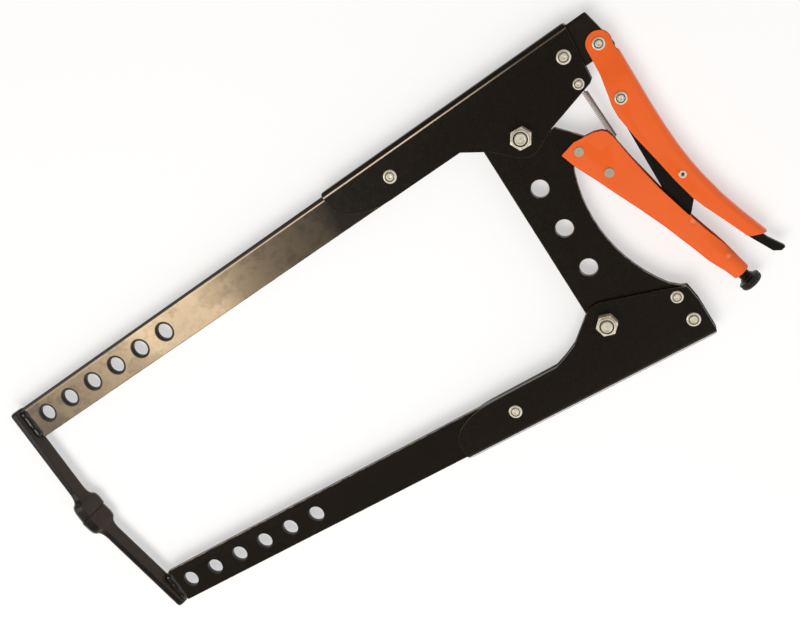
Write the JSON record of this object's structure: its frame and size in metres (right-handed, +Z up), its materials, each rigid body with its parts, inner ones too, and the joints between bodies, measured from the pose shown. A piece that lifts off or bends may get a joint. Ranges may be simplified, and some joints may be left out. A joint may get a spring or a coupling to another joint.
{
  "type": "locking clamp",
  "caption": "Deep-throat locking clamp with two flat bar arms, round jaws, a toggle linkage in pressed handles, an adjusting screw and a release lever.",
  "frame": {"origin": "centre of the underside of the lower bolt's head, on the bench the clamp lies on", "axes": "+X along the lower arm from the jaws to the handles, +Y in the plane of the arms toward the upper arm, +Z up from the bench"},
  "size_m": [0.5608, 0.2233, 0.0246],
  "materials": {
    "black_paint": "satin black baked enamel over sheet and bar steel",
    "forged_black": "glossy black over forged steel",
    "orange_paint": "semi-gloss orange enamel over pressed steel",
    "black_oxide": "black oxide steel",
    "zinc": "bright zinc plating",
    "grey_steel": "dull grey plated steel",
    "spring_steel": "bare spring wire"
  },
  "bodies": {
    "frame": {"lower_arm": "black_paint", "lower_jaw": "forged_black", "lower_cover": "black_paint", "body_plate": "black_paint", "lower_bolt": "zinc", "lower_nut": "zinc", "lower_washer": "zinc", "lower_front_rivet": "zinc", "lower_rear_rivet": "zinc", "plate_rivet": "zinc", "fixed_handle": "orange_paint", "tongue_rivet_upper": "grey_steel", "tongue_rivet_lower": "grey_steel", "tension_spring": "spring_steel"},
    "upper_arm_assembly": {"upper_arm": "black_paint", "upper_jaw": "forged_black", "upper_cover": "black_paint", "upper_front_rivet": "zinc", "upper_rear_rivet": "zinc", "spring_pin": "zinc", "pivot_bolt": "zinc", "pivot_nut": "zinc", "pivot_washer": "zinc"},
    "upper_handle_assembly": {"upper_handle": "orange_paint", "handle_pivot_rivet": "zinc", "link_pivot_rivet": "zinc", "lever_rivet": "zinc"},
    "toggle_link": {"toggle_link": "black_oxide"},
    "release_lever": {"release_lever": "black_oxide"},
    "adjusting_screw": {"adjusting_screw": "black_oxide"},
    "adjusting_knob": {"adjusting_knob": "black_oxide"}
  },
  "joints": [
    {"name": "arm_pivot", "type": "hinge", "parent": "frame", "child": "upper_arm_assembly", "pos_m": [0.0166, 0.1349, 0.0112], "axis": [0, 0, 1], "range_deg": [-12, 0], "deforming": ["tension_spring"]},
    {"name": "handle_pivot", "type": "hinge", "parent": "upper_arm_assembly", "child": "upper_handle_assembly", "pos_m": [0.08703, 0.1592, 0.0112], "axis": [0, 0, 1], "range_deg": [0, 59.7]},
    {"name": "link_pivot", "type": "hinge", "parent": "upper_handle_assembly", "child": "toggle_link", "pos_m": [0.08203, 0.1236, 0.0112], "axis": [0, 0, 1], "range_deg": [-70.2, 0]},
    {"name": "lever_pivot", "type": "hinge", "parent": "upper_handle_assembly", "child": "release_lever", "pos_m": [0.09053, 0.0627, 0.0112], "axis": [0, 0, 1], "range_deg": [-6, 0]},
    {"name": "screw_travel", "type": "slide", "parent": "frame", "child": "adjusting_screw", "axis": [-0.2699, 0.9629, 0], "range_m": [-0.01505, 0.0026]},
    {"name": "knob_turn", "type": "hinge", "parent": "adjusting_screw", "child": "adjusting_knob", "pos_m": [0.09031, -0.01295, 0.0112], "axis": [-0.2699, 0.9629, 0], "range_deg": [-4320, 720]}
  ],
  "couplings": [
    {"joint": "handle_pivot", "follows": "arm_pivot", "ratio": -4.97},
    {"joint": "link_pivot", "follows": "arm_pivot", "ratio": 5.84},
    {"joint": "screw_travel", "follows": "knob_turn", "m_per_rad": 0.00019894}
  ]
}
